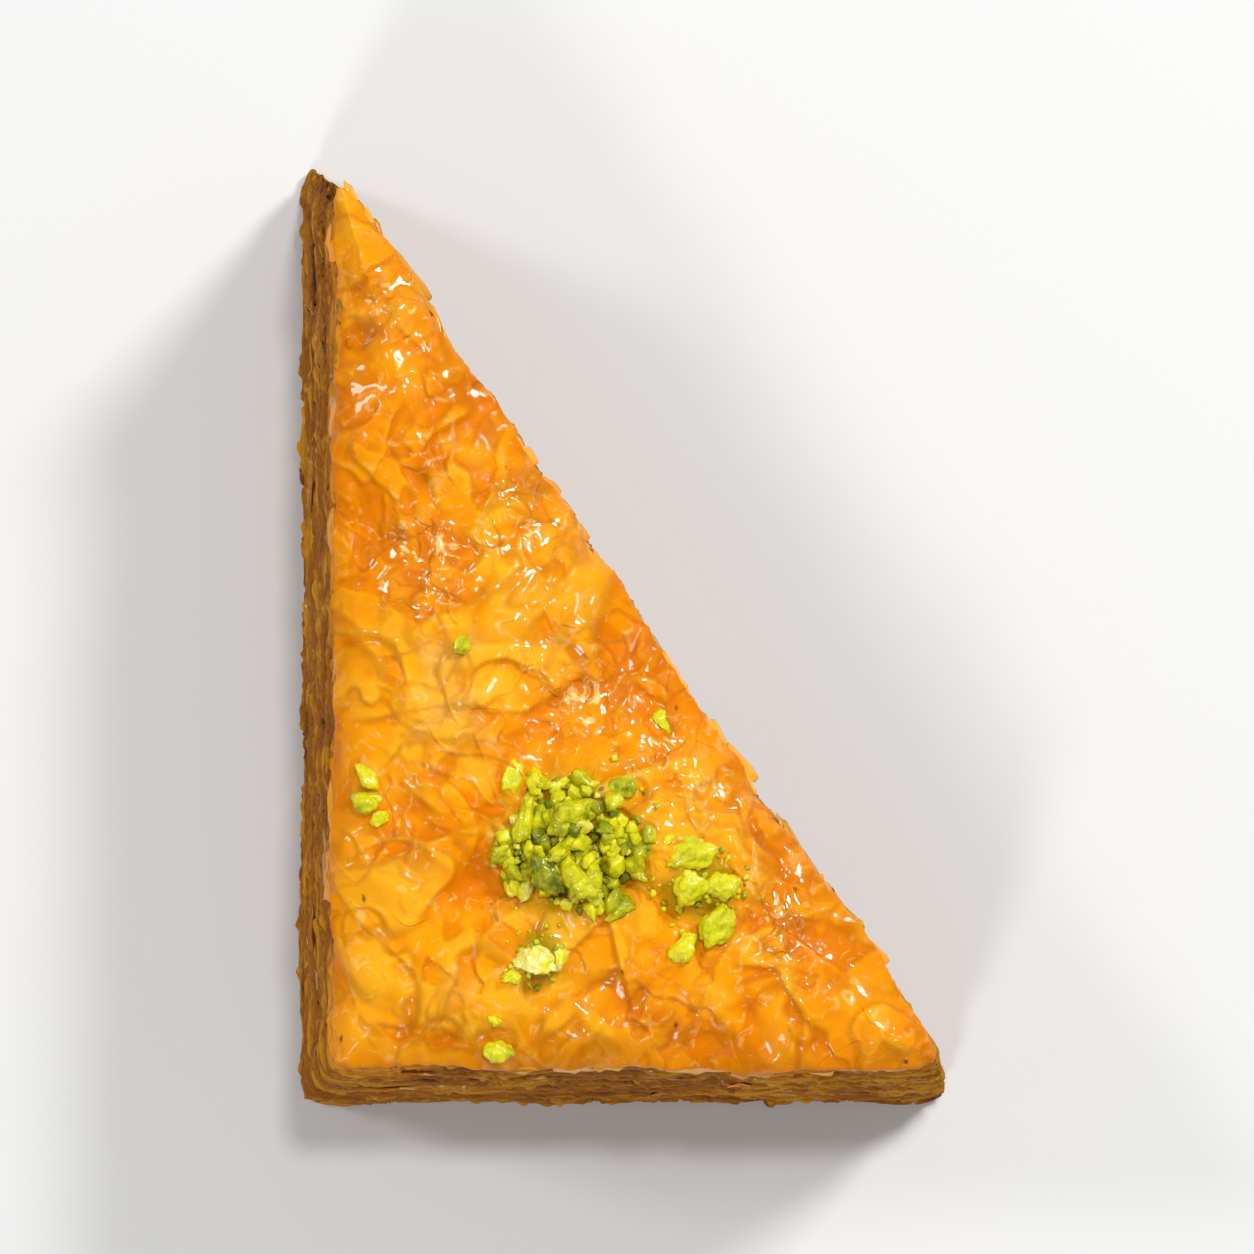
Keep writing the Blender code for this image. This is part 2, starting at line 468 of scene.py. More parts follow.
def leafFinish():
    # cut edges of the leaves, soaked and browned, with painted shade deep between them
    look = leafLook
    material, make = newMaterial("cutLeaves")
    place = make.ownPlace()
    outness = make.carried("outness")
    leafTone = make.carried("leafTone")
    along = make.vector("MULTIPLY", place, (1, 1, 3.5))
    broad = make.noise(along, 9 * mm, 2.2, 3, 0.6, 0.5)
    fine = make.noise(place, 0.8 * mm, 5.1, 3, 0.6, 0.5)
    # painted shade: near black deep between the leaves, lighter where a leaf edge stands out
    tone = outness * 0.62 + (broad - 0.5) * 0.9 + (fine - 0.5) * 0.5
    tone = tone + (leafTone - 0.5) * 1.0 + 0.06
    colour = make.mix(tone.rise(0.0, 0.35), look["gapShade"], look["brown"])
    colour = make.mix(tone.rise(0.38, 0.75), colour, look["tan"])
    colour = make.mix(tone.rise(0.78, 1.05) * 0.8, colour, look["edge"])
    upper = make.carried("level")
    upper = (upper + (broad - 0.5) * 0.25).rise(0.80, 1.0) * outness.rise(0.1, 0.6)
    colour = make.mix(upper * 0.75, colour, look["golden"])
    height = fine * 0.5 + make.noise(place, 0.3 * mm, 9.1, 2) * 0.15
    bump = make.bump(height, 0.7, 0.3 * mm)
    inputs = {
        "Base Color": colour,
        "Roughness": 0.42 + (fine - 0.5) * 0.3,
        "Specular IOR Level": 0.10,
        "Coat Weight": 0.14 + (broad - 0.5) * 0.6,
        "Coat Roughness": 0.10,
        "Normal": bump,
    }
    finishMaterial(make, inputs)
    return material


crumbLook = {"dark": (0.020, 0.006, 0.0015), "brown": (0.10, 0.030, 0.004)}


def crumbFinish():
    # the soaked inside seen between the leaves, and the bottom, kept near black as painted shade
    # deep in the gaps
    material, make = newMaterial("soakedInside")
    place = make.ownPlace()
    tone = make.noise(place, 1.6 * mm, 3.3, 4, 0.65, 0.4)
    colour = make.mix(tone.rise(0.35, 0.7), crumbLook["dark"], crumbLook["brown"])
    bump = make.bump(tone, 0.6, 0.4 * mm)
    finishMaterial(make, {"Base Color": colour, "Roughness": 0.42 + tone * 0.2, "Normal": bump})
    return material


def flakeFinish():
    # torn scraps of thin leaf: tone runs from soaked brown to pale gold
    material, make = newMaterial("tornLeaf")
    place = make.ownPlace()
    tone = make.carried("tone")
    soft = make.noise(place, 1.8 * mm, 3.1, 3, 0.6, 0.4)
    level = tone + (soft - 0.5) * 0.6
    stops = [
        (0.0, leafLook["brown"]),
        (0.35, leafLook["tan"]),
        (0.65, goldenLook["golden"]),
        (1.0, goldenLook["light"]),
    ]
    colour = make.add("ShaderNodeValToRGB", {"stops": stops}, {"Fac": level})
    bump = make.bump(soft, 0.5, 0.2 * mm)
    inputs = {
        "Base Color": colour,
        "Roughness": 0.34 + (soft - 0.5) * 0.2,
        "Specular IOR Level": 0.25,
        "Coat Weight": 0.4 + (soft - 0.5) * 0.8,
        "Coat Roughness": 0.06,
        "Normal": bump,
    }
    finishMaterial(make, inputs)
    return material


nutLook = {
    "deepGreen": (0.14, 0.165, 0.001),
    "green": (0.41, 0.405, 0.002),
    "lime": (0.70, 0.66, 0.003),
    "yellow": (0.84, 0.72, 0.010),
    "cream": (0.95, 0.86, 0.25),
}


def nutFinish():
    # chopped pistachio, wet with syrup; tone runs from deep green to cream
    look = nutLook
    material, make = newMaterial("pistachio")
    place = make.ownPlace()
    tone = make.carried("tone")
    soft = make.noise(place, 1.3 * mm, 6.1, 3, 0.6, 0.4)
    fine = make.noise(place, 0.35 * mm, 8.8, 2, 0.6)
    fibres = make.noise(make.vector("MULTIPLY", place, (1, 0.4, 1)), 0.5 * mm, 2.8, 3, 0.6)
    level = tone + (soft - 0.5) * 1.0 + (fibres - 0.5) * 0.35 - 0.02
    stops = [
        (0.0, look["deepGreen"]),
        (0.28, look["green"]),
        (0.55, look["lime"]),
        (0.78, look["yellow"]),
        (1.0, look["cream"]),
    ]
    colour = make.add("ShaderNodeValToRGB", {"stops": stops}, {"Fac": level})
    height = fine * 0.4 + fibres * 0.8
    bump = make.bump(height, 0.8, 0.3 * mm)
    inputs = {
        "Base Color": colour,
        "Roughness": 0.3 + (soft - 0.5) * 0.2,
        "Specular IOR Level": 0.25,
        "Coat Weight": 0.5 + (soft - 0.5) * 0.9,
        "Coat Roughness": 0.06,
        "Subsurface Weight": 0.2,
        "Subsurface Radius": (0.9, 0.8, 0.2),
        "Subsurface Scale": 1.0 * mm,
        "Normal": bump,
    }
    finishMaterial(make, inputs)
    return material


# x and y from the middle of the piece, length, width and turn in degrees, tone 0 to 1,
# and how far the grain is sunk in syrup
grainPlaces = [
    (-5.0, -16.4, 4.2, 3.6, 20, 0.40, 0.1),
    (-9.0, -16.8, 3.9, 1.7, 80, 0.55, 0.0),
    (-8.2, -13.6, 2.6, 1.7, 100, 0.70, 0.2),
    (-9.9, -13.4, 3.2, 2.2, 60, 0.62, 0.6),
    (-6.0, -13.8, 2.6, 1.2, 5, 0.78, 0.3),
    (-7.3, -21.7, 3.9, 2.4, 130, 0.14, 0.0),
    (-4.2, -22.0, 3.5, 2.5, 140, 0.52, 0.0),
    (-6.1, -19.5, 2.4, 1.8, 70, 0.45, 0.0),
    (-10.8, -19.4, 2.5, 2.0, 30, 0.40, 0.2),
    (-10.2, -21.9, 2.6, 1.6, 120, 0.66, 0.1),
    (-1.0, -14.2, 2.9, 2.2, 40, 0.34, 0.4),
    (0.8, -19.2, 2.3, 1.7, 10, 0.28, 0.5),
    (-0.8, -24.2, 3.1, 1.8, 35, 0.34, 0.5),
    (5.0, -19.5, 4.3, 2.7, 15, 0.56, 0.0),
    (5.1, -22.4, 3.5, 2.9, 70, 0.64, 0.0),
    (7.6, -22.2, 3.1, 2.7, 20, 0.58, 0.0),
    (7.3, -25.3, 4.0, 3.2, 50, 0.54, 0.0),
    (4.6, -27.5, 2.9, 2.2, 60, 0.68, 0.0),
    (3.1, -18.5, 1.4, 1.0, 45, 0.68, 0.1),
    (-8.0, -28.6, 3.9, 2.9, 150, 0.98, 0.1),
    (-6.0, -28.3, 2.2, 1.6, 70, 0.80, 0.2),
    (-10.1, -30.0, 1.7, 1.2, 10, 0.74, 0.3),
    (-11.4, -36.0, 3.0, 2.4, 170, 0.52, 0.2),
    (-11.5, -33.7, 1.2, 1.0, 0, 0.66, 0.2),
    (-22.4, -13.1, 2.5, 1.7, 120, 0.60, 0.2),
    (-22.0, -15.3, 2.9, 2.2, 20, 0.44, 0.1),
    (-21.2, -16.6, 1.9, 1.5, 60, 0.66, 0.1),
    (-14.3, -2.2, 1.9, 1.6, 45, 0.52, 0.3),
    (2.6, -8.4, 2.4, 1.5, 110, 0.60, 0.7),
]

nutHeap = {
    "places": [  # x, y and radius in mm
        (-5.4, -17.6, 4.4),
        (-4.0, -21.4, 3.4),
        (-8.8, -20.0, 2.8),
        (-1.4, -19.2, 3.0),
    ],
    "closeness": 0.86 * mm,  # between the grains of one layer
    "small": 0.32,
    "large": 1.30,
    "layers": [(1.0, 0.25, 900), (0.66, 1.0, 420), (0.36, 1.7, 420)],  # share, rise, tries
    "layerRise": 0.75 * mm,
    "middle": (-5.5, -18.5),
    "middleRadius": 4.5,  # mm; placed grains inside it lie a layer higher
    "seed": 11,
}

nutDust = {
    "places": [(-4.8, -19.0, 8.5), (5.8, -22.6, 4.4), (-8.0, -28.6, 3.0)],
    "count": 170,
    "small": 0.13,
    "large": 0.36,
    "seed": 5,
}


bodyDetail = {
    "rows": 390,  # of small triangles along each edge of the top
    "coreInset": 1.7 * mm,
    "coreDrop": 3.2 * mm,  # from the top sheet to the core's upper edge
    "coreLevels": 5,
    "rim": [(0.10, 0.12), (0.14, 0.34), (-0.30, 0.50), (-1.1, 0.56)],  # mm out, mm down
    "swell": 1.30 * mm,
    "swellSpacing": 16 * mm,
    "pucker": 1.25 * mm,
    "puckerSpacing": 7.0 * mm,
    "dimple": 0.75 * mm,  # only where the sheet is wrinkled
    "dimpleSpacing": 3.0 * mm,
    "wrinkles": [  # x, y and radius in mm of the places where the sheet is wrinkled
        (-17, 5, 7),
        (-7, 9, 6),
        (-5, -7, 8),
        (5, -13, 7),
        (12, -25, 5),
        (-20, 27, 5),
    ],
    "flakeLayers": [  # spacing mm, level, step mm, distortion
        (16.0, 0.50, 0.50, 0.6),
        (12.0, 0.54, 0.42, 0.9),
        (9.0, 0.46, 0.32, 1.1),
        (6.5, 0.57, 0.24, 0.7),
        (5.0, 0.44, 0.18, 0.7),
    ],
    "flakeEdge": 0.30,  # mm, half the run of a step
    "crease": 0.26 * mm,
    "creaseSpacings": (9.0, 6.0, 12.0),  # mm
    "blister": 0.36 * mm,
    "blisterKinds": [(4.6, 0.34, 0.68), (2.3, 0.36, 0.74)],  # spacing mm, size, rarity
    "bankRun": 0.38 * mm,  # of the syrup against a nut
    "bankHeight": (0.22, 0.30),  # mm, and as much more for a sunken nut
    "fray": 0.9 * mm,  # of the sheet's torn edge
    "fraySpacing": 1.6 * mm,
    "frayRun": 0.6 * mm,
}
reliefHeights = ("swell", "pucker", "dimple", "crease", "blister")


def waverField(make, flat, share):
    # how far the cut side wanders, the same for the top sheet and the leaves under it
    broad = make.noise(flat, shape["waverSpacing"], 91.0, 1, 0.5) - 0.5
    close = make.noise(flat, shape["nickSpacing"], 93.0, 1, 0.5) - 0.5
    return (broad * shape["waver"] + close * shape["nick"]) * 2 * share


def topGrid(rows):
    # a triangle of small triangles; its three edges keep their order for the rim
    points = corners(1.0)
    index = {}
    vertices = []
    for i in range(rows + 1):
        for j in range(rows + 1 - i):
            place = points[0] + (points[1] - points[0]) * (i / rows)
            place = place + (points[2] - points[0]) * (j / rows)
            index[i, j] = len(vertices)
            vertices.append(roundedOff(place, points))
    faces = []
    for i in range(rows):
        for j in range(rows - i):
            faces.append((index[i, j], index[i + 1, j], index[i, j + 1]))
            if i + j < rows - 1:
                faces.append((index[i + 1, j], index[i + 1, j + 1], index[i, j + 1]))
    rim = [index[i, 0] for i in range(rows)]
    rim += [index[rows - j, j] for j in range(rows)]
    rim += [index[0, rows - j] for j in range(rows)]
    return vertices, faces, rim


def bodyMesh():
    rows = bodyDetail["rows"]
    points = corners(1.0)
    middle, radius = inCentre(points)
    flat, faces, rim = topGrid(rows)
    inside = [rimDistance(place, points) for place in flat]
    isTop = [1.0] * len(flat)
    away = [outwardAt(place, points) for place in flat]
    vertices = [(place.x, place.y, topLevel) for place in flat]
    outwards = [outward for _, outward in outline(1.0, rows)]
    previous = rim
    rimEdge = [flat[index] for index in rim]

    def addRing(places, levels, topShare):
        nonlocal previous
        ring = []
        for place, level in zip(places, levels):
            ring.append(len(vertices))
            vertices.append((place.x, place.y, level))
            inside.append(0.0)
            isTop.append(topShare)
            away.append(outwardAt(place, points))
        count = len(ring)
        for step in range(count):
            after = (step + 1) % count
            faces.append((previous[after], previous[step], ring[step], ring[after]))
        previous = ring

    for out, down in bodyDetail["rim"]:
        if out > 0:
            places = [place + outward * out * mm for place, outward in zip(rimEdge, outwards)]
        else:
            share = 1 + out * mm / radius
            places = [middle + (place - middle) * share for place in rimEdge]
        addRing(places, [topLevel - down * mm] * len(rim), 1.0)
    rimFaces = len(faces)
    levels = bodyDetail["coreLevels"]
    coreTop = topLevel - bodyDetail["coreDrop"]
    for step in range(levels + 1):
        rise = 1 - step / levels
        ringCorners = corners(rise * coreTop / topLevel)
        ringMiddle, ringRadius = inCentre(ringCorners)
        share = 1 - bodyDetail["coreInset"] / ringRadius
        places = []
        for place, _ in outline(rise * coreTop / topLevel, rows):
            places.append(ringMiddle + (place - ringMiddle) * share)
        addRing(places, [coreTop * rise] * len(rim), 0.0)
    faces.append(tuple(previous))
    outward = np.array([(way.x, way.y, 0.0) for way in away])
    attributes = {"inside": inside, "isTop": isTop, "outward": outward}
    piece = newPiece("pastryBody", vertices, faces, attributes)
    return piece, rimFaces


def farFrom(make, flat, x, y):
    offset = make.vector("SUBTRACT", flat, (x * mm, y * mm, 0))
    return make.add("ShaderNodeVectorMath", {"operation": "LENGTH"}, {0: offset}, "Value")


def spots(make, flat, places, core, raggedness):
    # a mask that is 1 at these places and fades raggedly to 0 at their radius
    ragged = (make.noise(flat, 3 * mm, 83.0, 3, 0.6) - 0.5) * (raggedness * mm)
    mask = None
    for x, y, radius in places:
        far = farFrom(make, flat, x, y) + ragged
        spot = 1 - far.rise(radius * core * mm, radius * mm)
        mask = spot if mask is None else spot.atLeast(mask)
    return mask


def reliefTree():
    detail = bodyDetail
    names = {name.title(): "Float" for name in reliefHeights}
    make, geometry, inputs = shapeTree("topRelief", {**names, "Material": "Material"})
    place = make.add("GeometryNodeInputPosition")
    x, y, z = make.split(place)
    flat = make.join(x, y)
    inside = named(make, "inside")
    isTop = named(make, "isTop")
    freedom = 1 - inside.fading(2.2 * mm) * 0.8
    sag = make.noise(flat, 9 * mm, 29.0, 2, 0.5) * 1.7 + 0.15
    droop = inside.fading(shape["droopRun"]) * shape["rimDroop"] * sag
    crown = (1 - inside.fading(2 * shape["droopRun"])) * shape["crown"]
    swell = make.wave(inputs["Swell"], flat, detail["swellSpacing"], 0.31, 1, 0.5)
    pucker = make.wave(inputs["Pucker"], flat, detail["puckerSpacing"], 2.9, 1, 0.5, 0.5)
    wrinkled = spots(make, flat, detail["wrinkles"], 0.25, 9)
    dimple = make.wave(inputs["Dimple"], flat, detail["dimpleSpacing"], 4.4, 1, 0.5, 0.6)
    dimple = dimple * (wrinkled * 0.75 + 0.25)

    steps = 0.0
    shade = 0.5
    edges = 0.0
    for number, (spacing, level, height, distortion) in enumerate(detail["flakeLayers"]):
        field = make.noise(flat, spacing * mm, 5.3 + 3.7 * number, 2, 0.40, distortion)
        width = detail["flakeEdge"] / spacing
        isOver = field.rise(level - width, level + width)
        fade = make.noise(flat, 9 * mm, 40.0 + number, 1).rise(0.34, 0.58)
        steps = isOver * fade * (height * mm) + steps
        # at each step: a darker band at its foot, painted shadow with syrup lying there, and a
        # paler band along its upper edge, painted highlight; both go into flakeShade
        stepFootShade = field.rise(level - 0.10, level) * (1 - isOver)
        stepEdgeSheen = (1 - field.rise(level, level + 0.07)) * isOver
        shade = (stepEdgeSheen * 0.36 - stepFootShade * 0.34 + (isOver - 0.5) * 0.14) * fade + shade
        # a thin line along each step, which the top's colour darkens as painted shadow
        line = isOver * (1 - isOver) * 4 * fade
        edges = line.atLeast(edges) if number else line

    ridges = 0.0
    for number, spacing in enumerate(detail["creaseSpacings"]):
        field = make.noise(flat, spacing * mm, 61.0 + 5 * number, 1, 0.4, 0.8)
        ridge = 1 - abs(field - 0.5).rise(0.0, 0.022)
        where = make.noise(flat, 9 * mm, 71.0 + number, 1).rise(0.50, 0.62)
        ridges = ridge * where * inputs["Crease"] + ridges

    bubbles = 0.0
    for number, (spacing, size, chosenFrom) in enumerate(detail["blisterKinds"]):
        cell = make.cells(flat, spacing * mm, shift=2.0 + number)
        chosen = make.split(make.output(cell, "Color"))[0].rise(chosenFrom, chosenFrom + 0.02)
        dome = (1 - (cell / size) ** 2.0).atLeast(0.0) ** 0.7
        share = spacing / detail["blisterKinds"][0][0]
        bubbles = dome * chosen * inputs["Blister"] * share + bubbles

    stain = spots(make, flat, nutDust["places"], 0.35, 5)

    meniscus = 0.0
    low, more = detail["bankHeight"]
    for grainX, grainY, length, width, _, _, sunk in grainPlaces:
        far = farFrom(make, flat, grainX, grainY)
        size = (length + width) / 4 * mm
        bank = (far - size).atLeast(0.0).fading(detail["bankRun"])
        meniscus = bank * ((low + more * sunk) * mm) + meniscus

    lumps = (swell + pucker + dimple) * freedom
    relief = lumps + (steps + ridges + bubbles) * freedom + meniscus + crown - droop
    push = waverField(make, flat, inside.fading(4 * mm))
    fray = make.noise(flat, detail["fraySpacing"], 95.0, 3, 0.6) - 0.5
    push = push + fray * detail["fray"] * inside.fading(detail["frayRun"])
    move = make.vector("SCALE", named(make, "outward", "FLOAT_VECTOR"), scale=push * isTop)
    lift = make.join(z=relief * isTop)
    move = make.vector("ADD", move, lift)
    # lift: the lumps' height, which the top's colour turns into painted sheen and painted shade
    geometry = keep(make, geometry, "lift", lumps / (1.0 * mm))
    geometry = keep(make, geometry, "wrinkled", wrinkled)
    geometry = keep(make, geometry, "flakeShade", shade)
    geometry = keep(make, geometry, "flakeEdge", edges)
    geometry = keep(make, geometry, "nutStain", stain)
    geometry = make.add("GeometryNodeSetPosition", None, {0: geometry, "Offset": move})
    endTree(make, geometry, inputs["Material"])
    return make


def makeBody(goldenLeaf, soakedInside):
    piece, rimFaces = bodyMesh()
    values = {name.title(): bodyDetail[name] for name in reliefHeights}
    grown(piece, reliefTree(), {**values, "Material": goldenLeaf})
    piece.data.materials.append(soakedInside)
    slots = np.zeros(len(piece.data.polygons), dtype=np.int32)
    slots[rimFaces:] = 1
    piece.data.polygons.foreach_set("material_index", slots)
    print("pastry body", len(piece.data.polygons))
    return piece


leafStack = {
    "stacks": [("lowerLeaves", 0, 20), ("middleLeaves", 20, 20), ("upperLeaves", 40, 20)],
    "leaves": 60,
    "perEdge": 190,
    "thick": 0.42 * mm,
    "reach": 2.6 * mm,
    "bundling": 0.70 * mm,
    "unevenness": 0.44 * mm,
    "wander": 0.70 * mm,
    "curl": 0.50 * mm,
    "underTop": 1.4 * mm,  # from the last leaf to the top sheet
    "tornDepth": 0.55 * mm,
    "brokenDepth": 0.80 * mm,
    "tongue": 0.30 * mm,  # how far unbroken stretches stand out
    "wobble": 0.35 * mm,
    "spacingUnrest": 0.9 * mm,
    "seed": 3,
}
leafUnrest = ("bundling", "unevenness", "wander", "curl")


def leafBand(name):
    # one leaf's edge as a closed band round the triangle; the tree stacks it
    perEdge = leafStack["perEdge"]
    lower, upper = outline(0.0, perEdge), outline(1.0, perEdge)
    middle, radius = inCentre(corners(0.0))
    half = leafStack["thick"] / 2
    # share of the reach inwards and height: a thin edge that thickens inwards
    profile = [(0.07, half * 0.7), (0.0, 0.0), (0.07, -half * 0.7), (1.0, -half), (1.0, half)]
    vertices, outwards, rises, reaches = [], [], [], []
    for (place, outward), (above, _) in zip(lower, upper):
        for share, level in profile:
            scale = 1 - leafStack["reach"] * share / radius
            spot = middle + (place - middle) * scale
            vertices.append((spot.x, spot.y, level))
            outwards.append((outward.x, outward.y, 0.0))
            rises.append((above.x - place.x, above.y - place.y, 0.0))
            reaches.append(1 - share)
    rows = len(profile)
    count = len(lower)
    faces = []
    for step in range(count):
        here, after = step * rows, (step + 1) % count * rows
        for row in range(rows):
            nextRow = (row + 1) % rows
            faces.append((here + row, here + nextRow, after + nextRow, after + row))
    attributes = {"outward": outwards, "rise": rises, "reach": reaches}
    return newPiece(name, vertices, faces, attributes)


def leafTree():
    names = {"Leaves": "Int", "First Leaf": "Int", "Leaf Rise": "Float", "Seed": "Int"}
    names.update({name.title(): "Float" for name in leafUnrest})
    make, band, inputs = shapeTree("leafStack", {**names, "Material": "Material"})
    start = inputs["First Leaf"] * inputs["Leaf Rise"] + 0.25 * mm
    steps = {"Count": inputs["Leaves"], "Start Location": make.join(z=start)}
    steps["Offset"] = make.join(z=inputs["Leaf Rise"])
    line = make.add("GeometryNodeMeshLine", {"mode": "OFFSET"}, steps)
    stack = make.add("GeometryNodeInstanceOnPoints", None, {0: line, "Instance": band})
    number = make.add("GeometryNodeInputIndex") + inputs["First Leaf"]
    stack = keep(make, stack, "leafNumber", number, "INSTANCE")
    stack = make.add("GeometryNodeRealizeInstances", None, {0: stack})
    place = make.add("GeometryNodeInputPosition")
    x, y, z = make.split(place)
    level = z / topLevel
    leaf = named(make, "leafNumber")
    outward = named(make, "outward", "FLOAT_VECTOR")
    rise = named(make, "rise", "FLOAT_VECTOR")
    reach = named(make, "reach")
    ownPlace = make.join(x, y, leaf * 0.0137 + inputs["Seed"])
    bundlePlace = make.join(x * 0.35, y * 0.35, z)
    bundle = make.wave(inputs["Bundling"], bundlePlace, 2.6 * mm, 1.0, 1, 0.5)
    own = make.wave(inputs["Unevenness"], ownPlace, 5.0 * mm, 0.0, 3, 0.6)
    torn = make.noise(ownPlace, 2.4 * mm, 3.0, 3, 0.6)
    broken = make.noise(ownPlace, 7.0 * mm, 17.0, 2, 0.5)
    out = bundle + own - torn.rise(0.57, 0.63) * leafStack["tornDepth"]
    out = out - broken.rise(0.58, 0.64) * leafStack["brokenDepth"]
    out = out + torn.rise(0.42, 0.34) * leafStack["tongue"]
    flat = make.join(x, y)
    out = out + waverField(make, flat, level)
    endFade = (level * (1 - level) * 4).atLeast(0.0) ** 0.5
    drift = make.wave(inputs["Wander"], bundlePlace, 6 * mm, 5.0, 2) * endFade
    wobble = (make.noise(ownPlace, 3.2 * mm, 7.0, 2) - 0.5) * leafStack["wobble"]
    curl = make.wave(inputs["Curl"], ownPlace, 4.2 * mm, 9.0, 2, 0.5) * reach * reach
    leafOnly = make.join(z=leaf * 0.73)
    spacing = (make.noise(leafOnly, 1.0, 23.0, 1) - 0.5) * leafStack["spacingUnrest"]
    lift = drift + (wobble + spacing) * endFade + curl * level.rise(0.0, 0.12)
    lowest = 0.16 * mm - z
    lift = lift.atLeast(lowest)
    # the top sheet's droop carries the upper leaves down with it
    lift = lift - level.rise(0.55, 1.0) * (shape["rimDroop"] * 0.55)
    move = make.vector("ADD", make.vector("SCALE", rise, scale=level),
                       make.vector("SCALE", outward, scale=out))
    move = make.vector("ADD", move, make.join(z=lift))
    # outness: how far a point of a leaf stands out; the leaf colour paints shade where it is low
    stack = keep(make, stack, "outness", reach * (0.62 + out / (1.6 * mm)))
    stack = keep(make, stack, "level", level)
    tone = make.noise(ownPlace, 14 * mm, 13.0, 1)
    stack = keep(make, stack, "leafTone", tone)
    stack = make.add("GeometryNodeSetPosition", None, {0: stack, "Offset": move})
    endTree(make, stack, inputs["Material"])
    return make


def makeLeaves(cutLeaves):
    pieces = []
    for name, first, count in leafStack["stacks"]:
        values = {
            "Leaves": count,
            "First Leaf": first,
            "Leaf Rise": (topLevel - leafStack["underTop"]) / leafStack["leaves"],
            "Seed": leafStack["seed"],
            "Material": cutLeaves,
        }
        values.update({name.title(): leafStack[name] for name in leafUnrest})
        piece = grown(leafBand(name), leafTree(), values)
        print(name, len(piece.data.polygons))
        pieces.append(piece)
    return pieces


def nutShape(seed, subdivisions, cuts):
    # a rounded lump with flat chopped faces, about one unit across
    draw = random.Random(seed)
    lump = bmesh.new()
    bmesh.ops.create_icosphere(lump, subdivisions=subdivisions, radius=0.5)
    planes = []
    for _ in range(cuts):
        angle = draw.uniform(0, 2 * math.pi)
        height = draw.uniform(-0.9, 0.9)
        flat = math.sqrt(1 - height * height)
        direction = Vector((flat * math.cos(angle), flat * math.sin(angle), height))
        planes.append((direction, draw.uniform(0.22, 0.40)))
    for vertex in lump.verts:
        place = vertex.co.copy()
        place *= 1 + 0.45 * noise.noise(place * 2.2 + Vector((seed, 0, 0)))
        for direction, depth in planes:
            past = place.dot(direction) - depth
            if past > 0:
                place -= direction * past * 0.85
        place *= 1 + 0.22 * noise.noise(place * 6.5 + Vector((0, seed, 0)))
        vertex.co = place
    mesh = bpy.data.meshes.new("nutShape")
    lump.to_mesh(mesh)
    lump.free()
    mesh.shade_smooth()
    return mesh


def shapeKit(name, shapes):
    # a few shapes in a collection of their own, for the trees to pick from
    kit = bpy.data.collections.new(name)
    for number, mesh in enumerate(shapes):
        kit.objects.link(bpy.data.objects.new(f"{name}{number}", mesh))
    return kit


def clearKit(kit):
    for thing in list(kit.objects):
        bpy.data.objects.remove(thing, do_unlink=True)
    bpy.data.collections.remove(kit)


def scatterTree(name):
    # puts picked shapes on points that carry their own size, turn and tone
    names = {"Shapes": "Collection", "Roughness": "Float", "Material": "Material"}
    make, points, inputs = shapeTree(name, names)
    kit = {"Collection": inputs["Shapes"], "Separate Children": True, "Reset Children": True}
    turn = named(make, "turn", "FLOAT_VECTOR")
    picks = {
        0: make.add("GeometryNodeMeshToPoints", None, {0: points}),
        "Instance": make.add("GeometryNodeCollectionInfo", None, kit),
        "Pick Instance": True,
        "Instance Index": make.add("GeometryNodeInputIndex"),
        "Rotation": make.add("FunctionNodeEulerToRotation", None, {0: turn}),
        "Scale": named(make, "size", "FLOAT_VECTOR"),
    }
    grains = make.add("GeometryNodeInstanceOnPoints", None, picks)
    grains = make.add("GeometryNodeRealizeInstances", None, {0: grains})
    place = make.add("GeometryNodeInputPosition")
    normal = make.add("GeometryNodeInputNormal")
    rough = make.wave(inputs["Roughness"], place, 1.1 * mm, 3.0, 2, 0.6)
    move = make.vector("SCALE", normal, scale=rough)
    grains = make.add("GeometryNodeSetPosition", None, {0: grains, "Offset": move})
    endTree(make, grains, inputs["Material"])
    return make


def pointsPiece(name, grains):
    # each grain has its place, turn, size and tone
    places, turns, sizes, tones = zip(*grains)
    return newPiece(name, places, [], {"turn": turns, "size": sizes, "tone": tones})


def scattered(name, grains, shapes, roughness, material):
    kit = shapeKit(name + "Shape", shapes)
    values = {"Shapes": kit, "Roughness": roughness, "Material": material}
    piece = grown(pointsPiece(name, grains), scatterTree(name + "Scatter"), values)
    clearKit(kit)
    print(name, len(grains), len(piece.data.polygons))
    return piece


def surfaceOf(pieces):
    vertices, faces = [], []
    for piece in pieces:
        first = len(vertices)
        vertices += [vertex.co for vertex in piece.data.vertices]
        faces += [[first + index for index in face.vertices] for face in piece.data.polygons]
    return BVHTree.FromPolygons(vertices, faces)


def topFinder(tree):
    # gives the height of the top at a point
    def heightAt(x, y):
        hit = tree.ray_cast(Vector((x, y, 0.1)), Vector((0, 0, -1)))[0]
        return hit.z if hit else None

    return heightAt


def placedGrains(heightAt):
    draw = random.Random(2)
    grains = []
    for x, y, length, width, turn, tone, sunk in grainPlaces:
        tall = (0.45 * width + 0.5) * (1 - 0.35 * sunk)
        height = heightAt(x * mm, y * mm) + tall * mm * (0.28 - 0.45 * sunk)
        if math.dist((x, y), nutHeap["middle"]) < nutHeap["middleRadius"]:
            height += nutHeap["layerRise"]
        tilt = (draw.uniform(-0.25, 0.25), draw.uniform(-0.25, 0.25), math.radians(turn))
        size = (length * mm, width * mm, tall * mm)
        grains.append(((x * mm, y * mm, height), tilt, size, tone))
    return grains


def spotIn(draw, places, share, power):
    # a random spot in one of these round places
    centreX, centreY, radius = draw.choice(places)
    angle = draw.uniform(0, 2 * math.pi)
    far = radius * share * draw.random() ** power
    return (centreX + far * math.cos(angle)) * mm, (centreY + far * math.sin(angle)) * mm


